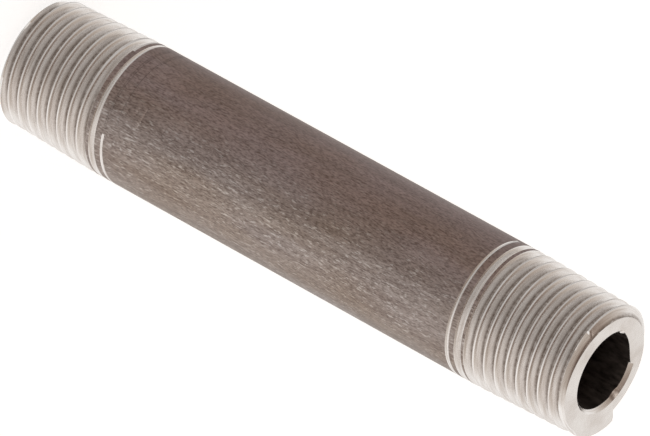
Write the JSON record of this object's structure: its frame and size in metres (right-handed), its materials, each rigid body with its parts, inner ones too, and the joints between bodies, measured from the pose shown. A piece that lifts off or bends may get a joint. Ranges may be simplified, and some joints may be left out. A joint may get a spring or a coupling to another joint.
{
  "type": "pipe nipple",
  "caption": "Short straight length of thick-walled steel pipe, open right through, with a tapered outside pipe thread at each end, for joining two internally threaded fittings.",
  "frame": {"origin": "centre of the lower end's outline, in the plane of the lower end face", "axes": "+Z along the pipe's axis, up through the bore to the other end; -Y is the side that faces the camera in the picture"},
  "size_m": [0.0098, 0.0098, 0.05],
  "materials": {
    "steel": "bare steel: dull brownish-grey drawn surface on the pipe, brighter machined surface on the threads and end faces"
  },
  "bodies": {
    "root": {"pipe_nipple": "steel"}
  },
  "joints": []
}
